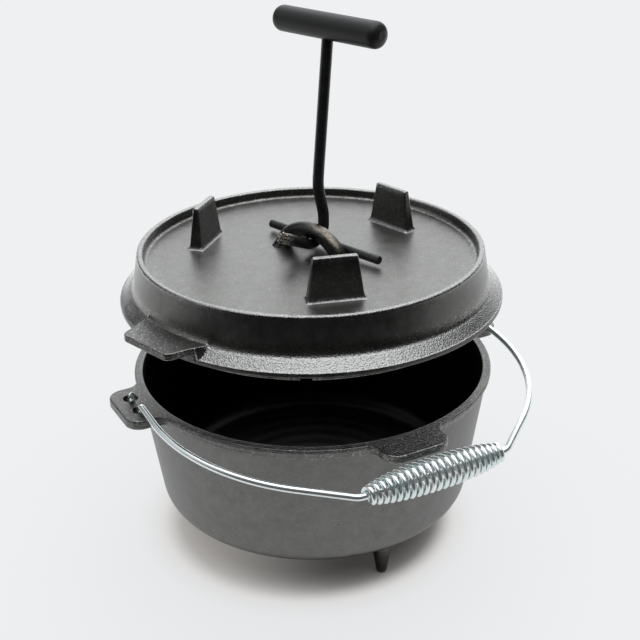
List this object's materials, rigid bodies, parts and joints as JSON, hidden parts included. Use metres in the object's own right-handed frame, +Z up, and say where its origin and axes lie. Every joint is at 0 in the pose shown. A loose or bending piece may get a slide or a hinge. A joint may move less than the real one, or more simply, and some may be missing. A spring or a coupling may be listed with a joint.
{
  "type": "camp dutch oven",
  "caption": "Footed cast iron camp oven with a flanged lid that lifts off, a swinging wire bail with a coiled grip, and a hooked lid lifter that tilts in the lid's loop.",
  "frame": {"origin": "on the ground, on the pot's axis, in the plane of the three feet", "axes": "+Z up along the pot's axis, X through the two bail ears, -Y the side where the bail lies"},
  "size_m": [0.305, 0.3246, 0.377],
  "materials": {
    "cast_iron": "sand-cast and seasoned, satin with a fine grain",
    "zinc_wire": "bright zinc plate with a faint blue tint",
    "black_steel": "smooth black coat, half gloss",
    "black_grip": "dull black"
  },
  "bodies": {
    "pot": {"pot": "cast_iron"},
    "lid": {"lid": "cast_iron"},
    "bail": {"bail_wire": "zinc_wire"},
    "bail_grip": {"bail_coil_grip": "zinc_wire"},
    "lifter": {"lifter_shank": "black_steel", "lifter_crossbar": "black_steel", "lifter_handle": "black_grip"}
  },
  "joints": [
    {"name": "lid_lift", "type": "slide", "parent": "pot", "child": "lid", "axis": [0, 0, 1], "range_m": [-0.0552, 0.095]},
    {"name": "bail_swing", "type": "hinge", "parent": "pot", "child": "bail", "pos_m": [0, 0, 0.124], "axis": [-1, 0, 0], "range_deg": [0, 36]},
    {"name": "bail_grip_spin", "type": "hinge", "parent": "bail", "child": "bail_grip", "pos_m": [0, -0.16385, 0.118], "axis": [1, 0, 0], "continuous": true},
    {"name": "lifter_tilt", "type": "hinge", "parent": "lid", "child": "lifter", "pos_m": [0, 0, 0.2289], "axis": [0.2924, -0.9563, 0], "range_deg": [-5, 30]}
  ]
}
